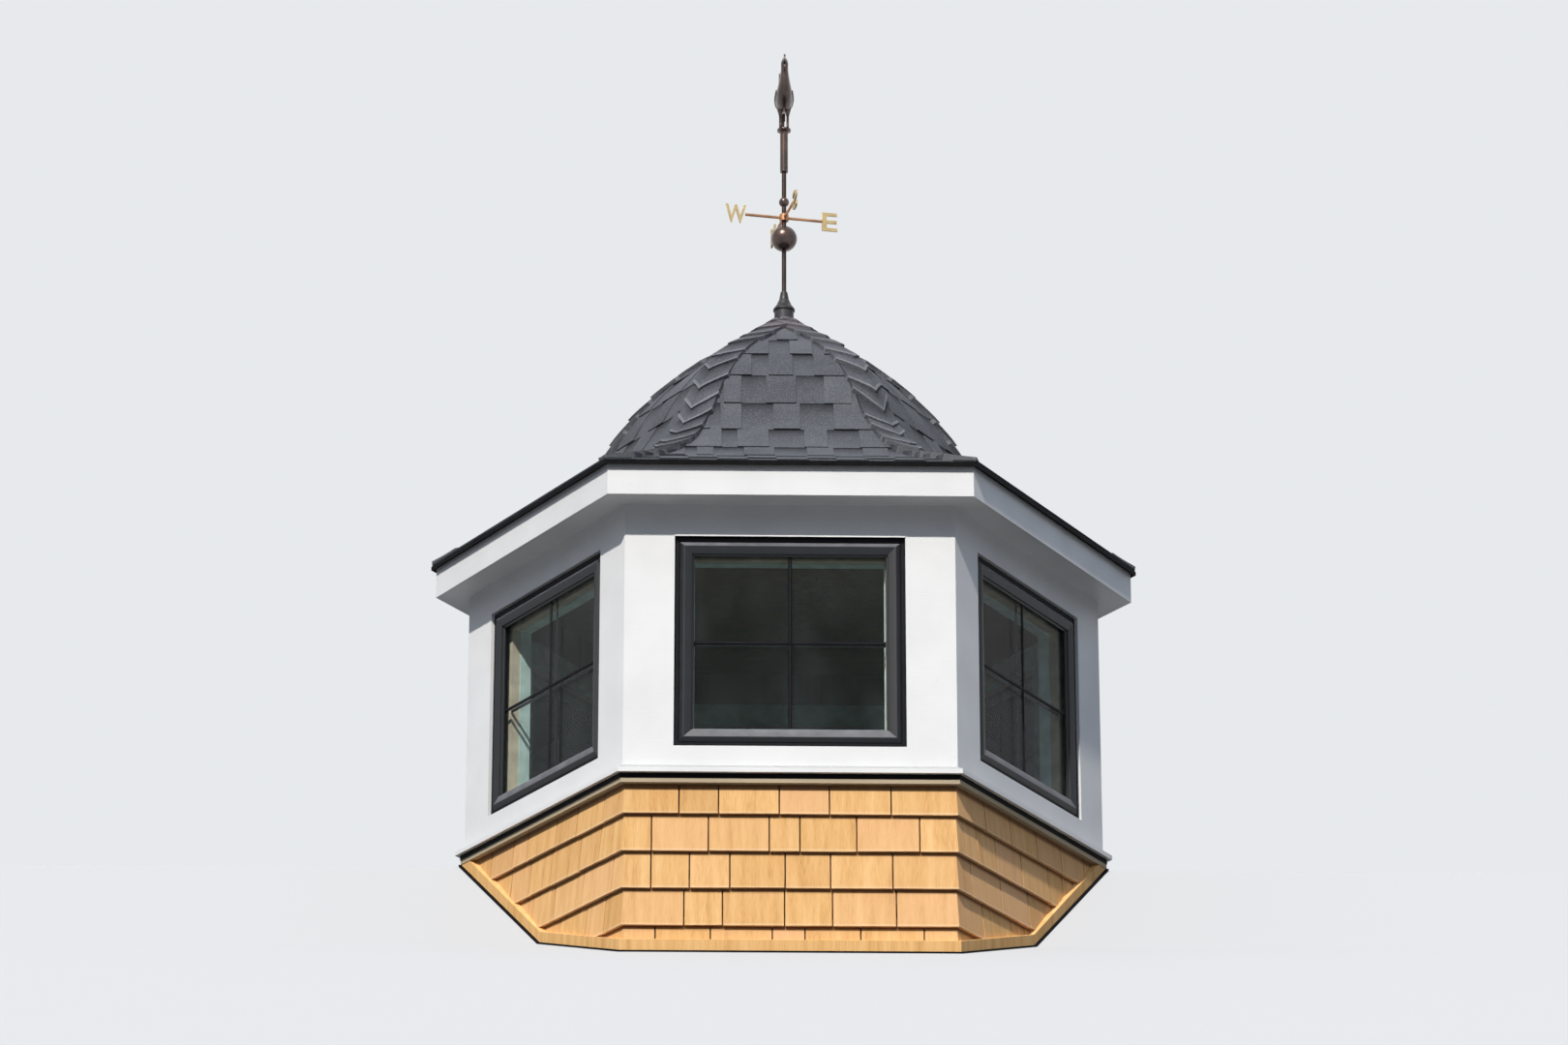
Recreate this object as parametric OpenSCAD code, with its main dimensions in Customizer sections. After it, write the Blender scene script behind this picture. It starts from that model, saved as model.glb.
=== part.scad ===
// Hexagonal garage cupola: a cedar-shingled base cut to sit over a roof ridge, a lantern with a
// window in each side, a bell-shaped roof with capped hips, and a weathervane on a spindle.
// Origin: centre of the plan, level with the lowest edges of the base. The two flat sides of the
// hexagon face front (-Y) and back (+Y), the ridge below runs along X, and Z is up. Millimetres.

/* [Plan] */
// Width of the framed walls, flat to flat
frame_w = 1829; // [1600:1:2100]
// Thickness of a framed and sheathed wall
wall_t = 101; // [80:1:130]
// Thickness of the white trim boards
trim_t = 19; // [15:1:24]

/* [Saddle over the main roof] */
// Rise of the lower roof slope per unit of run
low_pitch = 0.333; // [0.25:0.001:0.4]
// Rise of the upper roof slope per unit of run
high_pitch = 0.833; // [0.7:0.001:0.9]
// Distance from the ridge line to the change of slope
pitch_break = 485; // [400:1:560]

/* [Shingled base] */
// Height of the metal strip under the walls
flashing_h = 6; // [4:1:8]
// How far that strip reaches past the shingle butts
flashing_out = 16; // [10:1:24]
// Height of the first row of shingle butts
first_butt = 94; // [80:1:110]
// Height of each shingle course that shows
course_h = 124; // [110:1:127]
// Thickness of a shingle at its butt
butt_t = 12; // [9:1:14]
// Upright height of the cedar strip along the cut
strip_h = 35; // [25:1:45]

/* [Lantern] */
// Underside of the sill
sill_z = 597; // [590:1:620]
// Height of the sill's drip edge
sill_h = 30; // [24:1:40]
// How far the sill stands out past the trim boards
sill_out = 27; // [20:1:35]
// Height of the window's lowest edge
window_z = 693; // [685:1:715]
// Width of a window frame
window_w = 752; // [600:1:760]
// Height of a window frame
window_h = 717; // [600:1:725]
// Width of the frame around the glass
sash_face = 64; // [55:1:75]
// Width of the outer band of that frame, which is set back
jamb_face = 18; // [12:1:24]
// Underside of the soffit
soffit_z = 1519; // [1490:1:1540]

/* [Roof] */
// Distance that the fascia stands out past the trim boards
eave_out = 100; // [80:1:120]
// Height of the fascia
fascia_h = 104; // [90:1:115]
// Thickness of the roof covering and its boards
roof_t = 14; // [12:1:24]
// Top of the roof, where the six slopes meet
peak_z = 2564; // [2540:1:2580]
// Slope of the straight part below the peak, in degrees
peak_slope = 34; // [31:1:36]
// Distance from the axis to the end of that straight part
peak_a = 235; // [220:1:250]
// Radius of the bell's rounded shoulder
shoulder_r = 835; // [810:1:850]
// Slope of the bell's side at its steepest, in degrees
steep_slope = 66; // [64:1:68]
// Slope of the flared eave, in degrees
flare_slope = 24; // [22:1:25]
// Distance from a hip to the edge of its caps
cap_half_w = 62; // [50:1:80]
// Thickness of the hip caps
cap_t = 9; // [6:1:12]

/* [Weathervane] */
// Radius of the spindle
spindle_r = 8; // [6:0.5:10]
// Height of the spindle's top
spindle_top = 3262; // [3200:1:3300]
// Radius of the large ball
ball_r = 46; // [36:1:50]
// Height of the large ball's centre
ball_z = 2866; // [2840:1:2890]
// Radius of the small ball
bead_r = 18; // [14:1:22]
// Height of the small ball's centre
bead_z = 3006; // [2995:1:3030]
// Height of the four direction arms
arms_z = 2946; // [2935:1:2955]
// Reach of each direction arm from the spindle
arm_len = 140; // [110:1:150]
// Angle that the arms are turned from the square, in degrees
arms_turn = 12; // [0:1:45]
// Radius of the tube that turns on the spindle
sleeve_r = 14; // [12:0.5:16]
// Length of that tube below the spindle's top
sleeve_len = 140; // [60:1:160]
// Width of the bird's body
bird_w = 62; // [50:1:70]

/* [Hidden] */

// Half of a side's length for each unit of distance from the axis
side_ratio = tan(30);
wall_a = frame_w / 2;
wall_in = wall_a - wall_t;
trim_a = wall_a + trim_t;
butt_a = trim_a;
flashing_a = butt_a + flashing_out;
fascia_a = trim_a + eave_out;
// How far the roof boards reach past the fascia
edge_out = 12;
roof_edge_a = fascia_a + edge_out;
drip_t = 4;
reach = 1500;

break_z = (flashing_a - pitch_break) * low_pitch;
apex_z = break_z + pitch_break * high_pitch;
// Upright height that a strip of constant width gains on the steep part of the cut
steep_gain = 1.2;
courses = 5;
window_top = window_z + window_h;
ceiling_t = 12;
// Heights of the metal strip and of the cedar strip below the sill
sill_flashing_h = 16;
bed_strip_h = 15;
shingle_top = sill_z - sill_flashing_h - bed_strip_h;

cedar = [0.85, 0.62, 0.36];
white = [0.94, 0.94, 0.95];
charcoal = [0.24, 0.25, 0.28];
slate = [0.33, 0.35, 0.39];
iron = [0.12, 0.12, 0.13];
copper = [0.42, 0.28, 0.2];

// Roof curve, as distance from the axis and height. It runs straight down from the peak, over the
// rounded shoulder, down the hollow, and out along the straight flare to the eave.
// How far the tip stands above the line of the upper slope
tip_rise = 15;
shoulder_top = peak_z - tip_rise - peak_a * tan(peak_slope);
steep_a = peak_a + shoulder_r * (sin(steep_slope) - sin(peak_slope));
steep_z = shoulder_top - shoulder_r * (cos(peak_slope) - cos(steep_slope));
eave_z = soffit_z + fascia_h + roof_t / cos(flare_slope) - edge_out * tan(flare_slope);
// The hollow's radius is the one that meets both the steep side and the flare without a break
hollow_r = (steep_z - eave_z - (roof_edge_a - steep_a) * tan(flare_slope))
    / (cos(flare_slope) - cos(steep_slope) - (sin(steep_slope) - sin(flare_slope)) * tan(flare_slope));
shoulder_steps = 12;
hollow_steps = 10;
// How far the spindle's foot goes down through the roof
spindle_foot = 150;

// Points of the shoulder and of the hollow where the roof has a slope, moved out by lift
function shoulder_point(slope, lift) = [
    peak_a + shoulder_r * (sin(slope) - sin(peak_slope)) + lift * sin(slope),
    shoulder_top - shoulder_r * (cos(peak_slope) - cos(slope)) + lift * cos(slope)
];
function hollow_point(slope, lift) = [
    steep_a + hollow_r * (sin(steep_slope) - sin(slope)) + lift * sin(slope),
    steep_z - hollow_r * (cos(slope) - cos(steep_slope)) + lift * cos(slope)
];
// Height of the flare at a distance from the axis
function flare_z(a, lift) = eave_z + (roof_edge_a - a) * tan(flare_slope) + lift / cos(flare_slope);
// Whole curve from the axis to the eave
function roof_curve(lift) = concat(
    [[0, peak_z + lift / cos(peak_slope)]],
    [for (i = [0 : shoulder_steps])
        shoulder_point(peak_slope + (steep_slope - peak_slope) * i / shoulder_steps, lift)],
    [for (i = [1 : hollow_steps])
        hollow_point(steep_slope - (steep_slope - flare_slope) * i / hollow_steps, lift)],
    [[roof_edge_a, flare_z(roof_edge_a, lift)]]
);
function reversed(points) = [for (i = [len(points) - 1 : -1 : 0]) points[i]];

// Height of the main roof's surface below the cupola
function roof_below(y) = abs(y) > pitch_break
    ? (flashing_a - abs(y)) * low_pitch
    : break_z + (pitch_break - abs(y)) * high_pitch;

// Puts a piece made for the front side on side k, counted from the front towards the right
module on_side(k) {
    rotate([0, 0, 60 * k]) children();
}

// Plan that reaches the same distance from the axis on all six sides
module hexagon(a) {
    intersection_for (k = [0 : 2])
        on_side(k) square([4 * a, 2 * a], center = true);
}

module hex_ring(a_in, a_out, z_low, z_high) {
    translate([0, 0, z_low])
        linear_extrude(z_high - z_low)
            difference() {
                hexagon(a_out);
                hexagon(a_in);
            }
}

// Draws a profile of distance and height, and runs it along the front side
module along_front(length) {
    rotate([90, 0, -90]) linear_extrude(length, center = true) children();
}

// Everything that one side's wedge of the plan holds
module side_wedge() {
    translate([0, 0, -100])
        linear_extrude(peak_z + 300)
            polygon([[0, 0], [reach * side_ratio, -reach], [-reach * side_ratio, -reach]]);
}

// One mitred side between two distances from the axis
module side_slab(a_in, a_out, z_low, z_high) {
    intersection() {
        translate([-reach, -a_out, z_low]) cube([2 * reach, a_out - a_in, z_high - z_low]);
        side_wedge();
    }
}

// The main roof as a solid, raised by rise, to cut the base with
module roof_mass(rise) {
    along_front(3 * reach)
        polygon([
            [-reach, -reach], [-reach, roof_below(reach) + rise], [-pitch_break, break_z + rise],
            [0, apex_z + rise * steep_gain],
            [pitch_break, break_z + rise], [reach, roof_below(reach) + rise], [reach, -reach]
        ]);
}

module base_flashing() {
    color(iron)
        difference() {
            intersection() {
                hex_ring(wall_in, flashing_a, -1, apex_z + 50);
                roof_mass(flashing_h);
            }
            roof_mass(0);
        }
}

module foot_strips() {
    color(cedar)
        difference() {
            intersection() {
                hex_ring(wall_a, butt_a + 8, 0, shingle_top);
                roof_mass(flashing_h + strip_h);
            }
            roof_mass(flashing_h);
        }
}

// One framed wall, from the roof below to the underside of the roof above, with its window opening
module wall(k) {
    color("burlywood")
        difference() {
            on_side(k) side_slab(wall_in, wall_a, 0, flare_z(wall_a, -roof_t));
            roof_mass(flashing_h);
            on_side(k)
                translate([-window_w / 2, -wall_a - 1, window_z])
                    cube([window_w, wall_t + 2, window_h]);
        }
}

// Five courses of shingles: each leans out to its butt and tapers to nothing under the next
module shingle_field(k) {
    under = wall_a + 6;
    bottom = first_butt - course_h;
    color(cedar)
        difference() {
            on_side(k)
                intersection() {
                    along_front(2 * reach)
                        polygon(concat(
                            [[wall_a, shingle_top], [wall_a, bottom]],
                            [for (i = [0 : courses - 1]) each [
                                [under + butt_t + 1, bottom + i * course_h],
                                [under, min(bottom + (i + 1) * course_h, shingle_top)]
                            ]]
                        ));
                    side_wedge();
                }
            roof_mass(flashing_h + strip_h);
        }
}

module bed_strip() {
    color(cedar) hex_ring(wall_a, trim_a + 10, shingle_top, sill_z - sill_flashing_h);
}

module sill_flashing() {
    color(iron) hex_ring(wall_a, trim_a + 12, sill_z - sill_flashing_h, sill_z);
}

// Sill with a sloping top and a square drip edge
module sill() {
    color(white)
        for (k = [0 : 5])
            on_side(k)
                intersection() {
                    along_front(2 * reach)
                        polygon([
                            [wall_a, sill_z], [trim_a + sill_out, sill_z],
                            [trim_a + sill_out, sill_z + sill_h * 0.5], [trim_a, sill_z + sill_h],
                            [wall_a, sill_z + sill_h]
                        ]);
                    side_wedge();
                }
}

// Pairs of mitred boards that wrap the six corners
module corner_boards() {
    color(white)
        difference() {
            hex_ring(wall_a, trim_a, sill_z + sill_h, soffit_z);
            for (k = [0 : 5])
                on_side(k)
                    translate([-window_w / 2, -trim_a - 1, sill_z])
                        cube([window_w, trim_t + 2, soffit_z]);
        }
}

module side_boards(z_low, z_high) {
    color(white)
        for (k = [0 : 5])
            on_side(k)
                translate([-window_w / 2, -trim_a, z_low])
                    cube([window_w, trim_t, z_high - z_low]);
}

module lower_rails() {
    side_boards(sill_z + sill_h, window_z);
}

module head_boards() {
    side_boards(window_top, soffit_z);
}

glass_w = window_w - 2 * sash_face;
glass_h = window_h - 2 * sash_face;
glass_t = 20;
glass_lap = 10;
sash_front = trim_a - 2;
jamb_front = trim_a - 12;
bead_front = sash_front - 18;
glass_front = bead_front - 7;
sash_back = sash_front - 76;
// Widths of the sash's slanted face and of the flat bead that holds the glass
bevel_w = 24;
bead_w = 10;

// Block of a window, drawn in by inset on its four edges
module window_block(inset, a_in, a_out) {
    translate([-window_w / 2 + inset, -a_out, window_z + inset])
        cube([window_w - 2 * inset, a_out - a_in, window_h - 2 * inset]);
}

// Frustum with its wide end in front, to slant the sash towards the glass
module bevel_cut(width, height, spread, a_in, a_out) {
    intersection() {
        translate([0, 0, window_z])
            linear_extrude(window_h)
                polygon([
                    [-width / 2, -a_in], [width / 2, -a_in],
                    [width / 2 + spread, -a_out], [-width / 2 - spread, -a_out]
                ]);
        along_front(window_w)
            polygon([
                [a_in, window_z + window_h / 2 - height / 2],
                [a_out, window_z + window_h / 2 - height / 2 - spread],
                [a_out, window_z + window_h / 2 + height / 2 + spread],
                [a_in, window_z + window_h / 2 + height / 2]
            ]);
    }
}

module pane_block() {
    window_block(sash_face - glass_lap, glass_front - glass_t, glass_front);
}

// Window frame: an outer band set back, a sash with a slanted face, a flat bead round the glass, and
// a groove that holds the pane
module window(k) {
    color(charcoal)
        on_side(k)
            difference() {
                union() {
                    window_block(0, sash_back, jamb_front);
                    window_block(jamb_face, jamb_front - 5, sash_front);
                }
                window_block(sash_face, sash_back - 1, sash_front + 1);
                bevel_cut(glass_w + 2 * bead_w, glass_h + 2 * bead_w, bevel_w, bead_front, sash_front + 0.01);
                pane_block();
            }
}

module window_panes() {
    color([0.3, 0.4, 0.42, 0.6])
        for (k = [0 : 5])
            on_side(k) pane_block();
}

module ceiling() {
    color(white)
        translate([0, 0, soffit_z]) linear_extrude(ceiling_t) hexagon(wall_in);
}

module soffit() {
    color(white) hex_ring(wall_a, fascia_a - trim_t, soffit_z, soffit_z + ceiling_t);
}

module fascia() {
    color(white) hex_ring(fascia_a - trim_t, fascia_a, soffit_z, flare_z(fascia_a, -roof_t));
}

module drip_edge() {
    color(iron)
        hex_ring(roof_edge_a, roof_edge_a + drip_t, flare_z(roof_edge_a, -roof_t), flare_z(roof_edge_a, 0) - 2);
}

// Everything under the roof curve, or a little beyond the eave too: three crossed prisms share only
// what lies under all six slopes
module roof_solid(lift, beyond) {
    edge = flare_z(roof_edge_a, lift);
    curve = concat(
        roof_curve(lift),
        [[roof_edge_a + beyond, edge - beyond], [roof_edge_a + beyond, soffit_z - beyond]]
    );
    intersection_for (k = [0 : 2])
        on_side(k)
            along_front(2 * reach)
                polygon(concat(curve, [for (p = reversed(curve)) if (p[0] > 0) [-p[0], p[1]]]));
}

module spindle_hole() {
    translate([0, 0, peak_z - spindle_foot - 1]) cylinder(r = spindle_r, h = 2 * spindle_foot, $fn = 48);
}

// One curved slope of the bell, from the peak to the eave
module slope(k) {
    color(slate)
        difference() {
            on_side(k)
                intersection() {
                    along_front(2 * reach)
                        polygon(concat(roof_curve(0), reversed(roof_curve(-roof_t))));
                    side_wedge();
                }
            spindle_hole();
        }
}

// A folded strip along each of the six hips, laid on the slopes; the strips join at the peak
module hip_caps() {
    color(slate)
        difference() {
            intersection() {
                roof_solid(cap_t, 0);
                for (k = [0 : 2])
                    rotate([0, 0, 60 * k])
                        translate([-reach, -cap_half_w, soffit_z]) cube([2 * reach, 2 * cap_half_w, reach]);
            }
            roof_solid(0, 5);
            spindle_hole();
        }
}

// Flared metal cap on a collar, which sheds water at the foot of the spindle
module roof_cap() {
    color(copper)
        difference() {
            translate([0, 0, peak_z])
                rotate_extrude($fn = 64)
                    polygon([
                        [0, -20], [34, -20], [34, 27], [38, 27], [38, 33], [27, 48], [17, 70], [12, 98], [0, 98]
                    ]);
            roof_solid(cap_t, 5);
            spindle_hole();
        }
}

module spindle() {
    color(iron)
        translate([0, 0, peak_z - spindle_foot])
            cylinder(r = spindle_r, h = spindle_top - peak_z + spindle_foot, $fn = 48);
}

module bored_ball(z, r) {
    difference() {
        translate([0, 0, z]) sphere(r = r, $fn = 64);
        translate([0, 0, z - 2 * r]) cylinder(r = spindle_r, h = 4 * r, $fn = 48);
    }
}

module balls() {
    color(copper) {
        bored_ball(ball_z, ball_r);
        bored_ball(bead_z, bead_r);
    }
}

module direction_arms() {
    color(copper)
        difference() {
            union() {
                translate([0, 0, arms_z - 12]) cylinder(r = 16, h = 24, $fn = 48);
                for (turn = [0 : 3])
                    rotate([0, 0, 90 * turn + arms_turn])
                        translate([0, 0, arms_z]) rotate([0, 90, 0]) cylinder(r = 5, h = arm_len, $fn = 32);
            }
            translate([0, 0, arms_z - 30]) cylinder(r = spindle_r, h = 60, $fn = 48);
        }
}

sleeve_gap = 0.05;
sleeve_top = spindle_top + 18;

// Closed tube that turns on the top of the spindle
module vane_sleeve() {
    color(copper)
        difference() {
            translate([0, 0, spindle_top - sleeve_len]) cylinder(r = sleeve_r, h = sleeve_len + 18, $fn = 48);
            translate([0, 0, spindle_top - sleeve_len - 1])
                cylinder(r = spindle_r + sleeve_gap, h = sleeve_len + 3, $fn = 48);
        }
}

// Stations of the bird's body from the root of the tail to the tip of the beak. Each gives its place as
// distance to the front and height above the tube, then its half height, and its half width as a share
// of half the body's width.
BIRD_STATIONS = [
    [-98, 152, 5, 0.12], [-72, 142, 25, 0.52], [-30, 126, 41, 0.92], [12, 122, 45, 1], [50, 134, 39, 0.86],
    [74, 164, 27, 0.6], [86, 198, 18, 0.42], [97, 222, 16, 0.4], [120, 226, 8, 0.2], [146, 217, 1, 0.04]
];
body_sides = 18;
steps_between = 4;

// Smooth run of values through a list: each stretch is a cubic set by its two ends and their neighbours
function near(list, i) = list[max(0, min(len(list) - 1, i))];
function smooth(list, i, t) =
    let (a = near(list, i - 1), b = near(list, i), c = near(list, i + 1), d = near(list, i + 2))
    0.5 * (2 * b + (c - a) * t + (2 * a - 5 * b + 4 * c - d) * t * t + (3 * b - a - 3 * c + d) * t * t * t);
body_line = concat(
    [for (i = [0 : len(BIRD_STATIONS) - 2]) for (j = [0 : steps_between - 1])
        smooth(BIRD_STATIONS, i, j / steps_between)],
    [BIRD_STATIONS[len(BIRD_STATIONS) - 1]]
);
// Direction of the line at a station, as an angle above the horizontal
function heading(i) =
    let (from = near(body_line, i - 1), to = near(body_line, i + 1)) atan2(to[1] - from[1], to[0] - from[0]);
// One oval ring round the line, square to it, with the body swollen by extra
function body_ring(i, extra) =
    let (p = body_line[i], h = heading(i))
    [for (n = [0 : body_sides - 1])
        let (around = 360 * n / body_sides, up = (p[2] + extra) * sin(around))
        [(p[3] * bird_w / 2 + extra) * cos(around), -(p[0] - up * sin(h)), p[1] + up * cos(h)]];

// Skin over all the rings, closed at both ends
module bird_body(extra) {
    rings = len(body_line);
    points = [for (i = [0 : rings - 1]) each body_ring(i, extra)];
    sides = [for (i = [0 : rings - 2]) for (n = [0 : body_sides - 1])
        let (m = (n + 1) % body_sides, low = i * body_sides, high = low + body_sides)
        each [[low + n, high + m, low + m], [low + n, high + n, high + m]]];
    ends = [
        [for (n = [0 : body_sides - 1]) n],
        [for (n = [body_sides - 1 : -1 : 0]) (rings - 1) * body_sides + n]
    ];
    polyhedron(points, concat(sides, ends));
}

// Points of a curve bent towards one control point
function bend(from, control, to, t) = (1 - t) * (1 - t) * from + 2 * t * (1 - t) * control + t * t * to;
// Outline of one tail feather along such a curve, widest past its middle, with a pointed tip
function feather(control, tip, width) =
    let (
        root = [-60, 138], steps = 14,
        line = [for (i = [0 : steps]) bend(root, control, tip, i / steps)],
        across = [for (i = [0 : steps])
            let (d = near(line, i + 1) - near(line, i - 1)) [-d[1], d[0]] / norm(d)],
        half = [for (i = [0 : steps])
            width * (0.25 + 0.75 * sin(180 * pow(i / steps, 1.3))) * (i == steps ? 0.1 : 1)]
    )
    concat(
        [for (i = [0 : steps]) line[i] + half[i] * across[i]],
        [for (i = [steps : -1 : 0]) line[i] - half[i] * across[i]]
    );
// Control point, tip, half width and distance from the middle of each pair of tail feathers
TAIL_FEATHERS = [
    [[-112, 352], [-206, 232], 13, 13], [[-128, 306], [-222, 186], 13, 9.5],
    [[-136, 250], [-216, 136], 12, 6], [[-132, 200], [-190, 96], 11, 2.5]
];
feather_t = 6;

// Comb as a row of rounded lobes along an arc over the crown
comb_lobes = 5;
comb_steps = 40;
function comb() = concat(
    [[96, 218]],
    [for (i = [0 : comb_steps])
        let (part = i / comb_steps, turn = 172 - 140 * part,
             r = 19 + 4 * sin(180 * part) + 13 * pow(abs(sin(180 * comb_lobes * part)), 0.6))
        [94 + r * cos(turn), 220 + r * sin(turn)]]
);

// Crowing cock with its head to the front. It stands on the tube by two legs and a round plate.
module vane_bird() {
    color(copper)
        translate([0, 0, sleeve_top]) {
            bird_body(0);
            intersection() {
                bird_body(4);
                along_front(bird_w + 20)
                    polygon([for (i = [0 : 24])
                        let (t = i / 24) [44 - 108 * t, 126 + 26 * sin(180 * sqrt(t)) - 20 * t]]);
            }
            for (f = TAIL_FEATHERS)
                for (side = [-1, 1])
                    translate([side * f[3], 0, 0]) along_front(feather_t) polygon(feather(f[0], f[1], f[2]));
            along_front(6) polygon(comb());
            along_front(9) translate([111, 199]) circle(r = 12, $fn = 32);
            for (side = [-1, 1])
                translate([side * 13, 0, 0]) {
                    translate([0, 6, 4]) cylinder(r = 4.5, h = 100, $fn = 24);
                    translate([0, 6, 62]) cylinder(r1 = 5, r2 = 15, h = 38, $fn = 32);
                    translate([0, 24, 9]) rotate([90, 0, 0]) cylinder(r = 4, h = 58, $fn = 24);
                }
            cylinder(r = 24, h = 7, $fn = 48);
        }
}

base_flashing();
foot_strips();
wall(0);  // front_wall
wall(1);  // right_front_wall
wall(2);  // right_back_wall
wall(3);  // back_wall
wall(4);  // left_back_wall
wall(5);  // left_front_wall
shingle_field(0);  // front_shingles
shingle_field(1);  // right_front_shingles
shingle_field(2);  // right_back_shingles
shingle_field(3);  // back_shingles
shingle_field(4);  // left_back_shingles
shingle_field(5);  // left_front_shingles
bed_strip();
sill_flashing();
sill();
corner_boards();
lower_rails();
head_boards();
window(0);  // front_window
window(1);  // right_front_window
window(2);  // right_back_window
window(3);  // back_window
window(4);  // left_back_window
window(5);  // left_front_window
window_panes();
ceiling();
soffit();
fascia();
drip_edge();
slope(0);  // front_slope
slope(1);  // right_front_slope
slope(2);  // right_back_slope
slope(3);  // back_slope
slope(4);  // left_back_slope
slope(5);  // left_front_slope
hip_caps();
roof_cap();
spindle();
balls();
direction_arms();
vane_sleeve();
vane_bird();
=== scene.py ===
"""Looks of a hexagonal cupola: cedar shingles, painted trim, tinted windows, a shingled bell roof and a
weathervane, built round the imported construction. Lengths are metres, +Z is up, the front faces -Y, and
the sides are counted from the front towards the right. A distance from the axis is called a."""
import math

import bmesh
import bpy
import numpy as np
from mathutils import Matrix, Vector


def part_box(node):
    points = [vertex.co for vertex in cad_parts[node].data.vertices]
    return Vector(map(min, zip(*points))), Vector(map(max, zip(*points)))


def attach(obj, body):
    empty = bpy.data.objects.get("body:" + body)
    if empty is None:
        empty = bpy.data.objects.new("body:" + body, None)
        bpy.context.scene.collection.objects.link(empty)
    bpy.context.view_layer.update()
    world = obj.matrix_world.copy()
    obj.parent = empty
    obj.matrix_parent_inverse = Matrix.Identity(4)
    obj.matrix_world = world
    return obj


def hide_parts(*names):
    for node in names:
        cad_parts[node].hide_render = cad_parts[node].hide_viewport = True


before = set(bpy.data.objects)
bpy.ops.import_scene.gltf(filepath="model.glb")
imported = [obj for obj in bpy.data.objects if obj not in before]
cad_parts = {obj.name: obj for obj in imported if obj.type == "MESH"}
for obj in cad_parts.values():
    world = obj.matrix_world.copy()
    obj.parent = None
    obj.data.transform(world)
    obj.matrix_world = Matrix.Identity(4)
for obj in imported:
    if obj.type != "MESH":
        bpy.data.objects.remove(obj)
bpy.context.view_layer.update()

SIDES = ["front", "right_front", "right_back", "back", "left_back", "left_front"]
COS30, SIN60, TAN30 = math.cos(math.radians(30)), math.sin(math.radians(60)), math.tan(math.radians(30))

# Distances of the front's surfaces from the axis, and heights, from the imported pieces
WALL_A, WALL_IN_A = -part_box("front_wall")[0].y, -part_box("front_wall")[1].y
BUTT_A = -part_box("front_shingles")[0].y
SADDLE_A = -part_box("base_flashing")[0].y
TRIM_A = -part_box("corner_boards")[0].y
SASH_A, SASH_BACK_A = -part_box("front_window")[0].y, -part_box("front_window")[1].y
PANE_A = -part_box("window_panes")[0].y
ROOF_EDGE_A = -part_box("front_slope")[0].y
SHINGLE_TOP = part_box("front_shingles")[1].z
WINDOW_LOW, WINDOW_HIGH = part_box("front_window")[0].z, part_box("front_window")[1].z
WINDOW_HALF_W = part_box("front_window")[1].x
PANE_LOW, PANE_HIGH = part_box("window_panes")[0].z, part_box("window_panes")[1].z
ARMS_Z = (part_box("direction_arms")[0].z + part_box("direction_arms")[1].z) / 2

# Saddle cut across the foot of the base, and the metal and cedar strips along it. The strips are higher
# by STEEP_GAIN over the middle of the cut, where it is steep.
LOW_PITCH, HIGH_PITCH, PITCH_BREAK = 0.333, 0.833, 0.485
BREAK_Z = (SADDLE_A - PITCH_BREAK) * LOW_PITCH
CUT_TOP_Z = BREAK_Z + PITCH_BREAK * HIGH_PITCH
FLASHING_H, STRIP_H, STEEP_GAIN = 0.006, 0.035, 1.2

# Roof curve: straight up to the tip, round over the shoulder, hollow below, straight flare at the eave.
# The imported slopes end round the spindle, a little below the tip.
PEAK_SLOPE, STEEP_SLOPE, FLARE_SLOPE = (math.radians(d) for d in (34, 66, 24))
PEAK_A, TIP_RISE, SHOULDER_R, SPINDLE_R = 0.235, 0.015, 0.835, 0.008
PEAK_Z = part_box("front_slope")[1].z + SPINDLE_R * COS30 * (TIP_RISE / PEAK_A + math.tan(PEAK_SLOPE))

# A hair of room under thin pieces, so that no two surfaces lie in one plane
HAIR = 0.0004


# Shapes: a shape is its points, its faces and its named values, with one number a point

def turned(points, angle):
    """Points turned round the axis, against the clock as seen from above."""
    c, s = math.cos(angle), math.sin(angle)
    return points @ np.array([[c, s, 0], [-s, c, 0], [0, 0, 1]])


def on_side(shape, side):
    """The front side's shape turned to another side, 60 degrees for each."""
    points, faces, values = shape
    return turned(points, math.radians(60 * side)), faces, values


def join(shapes):
    """Joins several shapes into one, moving the faces' numbers on."""
    starts = np.cumsum([0] + [len(points) for points, _, _ in shapes[:-1]])
    points = np.concatenate([shape[0] for shape in shapes])
    faces = np.concatenate([shape[1] + start for shape, start in zip(shapes, starts)])
    values = {key: np.concatenate([shape[2][key] for shape in shapes]) for key in shapes[0][2]}
    return points, faces, values


def all_round(shape):
    """The front side's shape and its five turned copies as one."""
    return join([on_side(shape, side) for side in range(6)])


def closed_sheets(top, bottom, **values):
    """A shape of closed sheets. top and bottom are grids (count, rows, columns, 3), rows going up and
    columns to the right as seen from outside. Each sheet is its two grids of quads and a band round the
    rim that joins them."""
    count, rows, columns, _ = top.shape
    cell = rows * columns
    grid = np.arange(cell).reshape(rows, columns)
    quads = np.stack([grid[:-1, :-1], grid[:-1, 1:], grid[1:, 1:], grid[1:, :-1]], -1).reshape(-1, 4)
    rim = np.concatenate([grid[0, :-1], grid[:-1, -1], grid[-1, :0:-1], grid[:0:-1, 0]])
    after = np.roll(rim, -1)
    band = np.stack([rim, rim + cell, after + cell, after], -1)
    one = np.concatenate([quads, quads[:, ::-1] + cell, band])
    faces = (one + 2 * cell * np.arange(count)[:, None, None]).reshape(-1, 4)
    points = np.concatenate([top.reshape(count, cell, 3), bottom.reshape(count, cell, 3)], 1)
    return points.reshape(-1, 3), faces, values


def on_both(grids):
    """Values on grids (count, rows, columns), given to the tops and the bottoms of closed sheets."""
    return np.repeat(grids.reshape(len(grids), -1), 2, 0).ravel()


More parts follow.
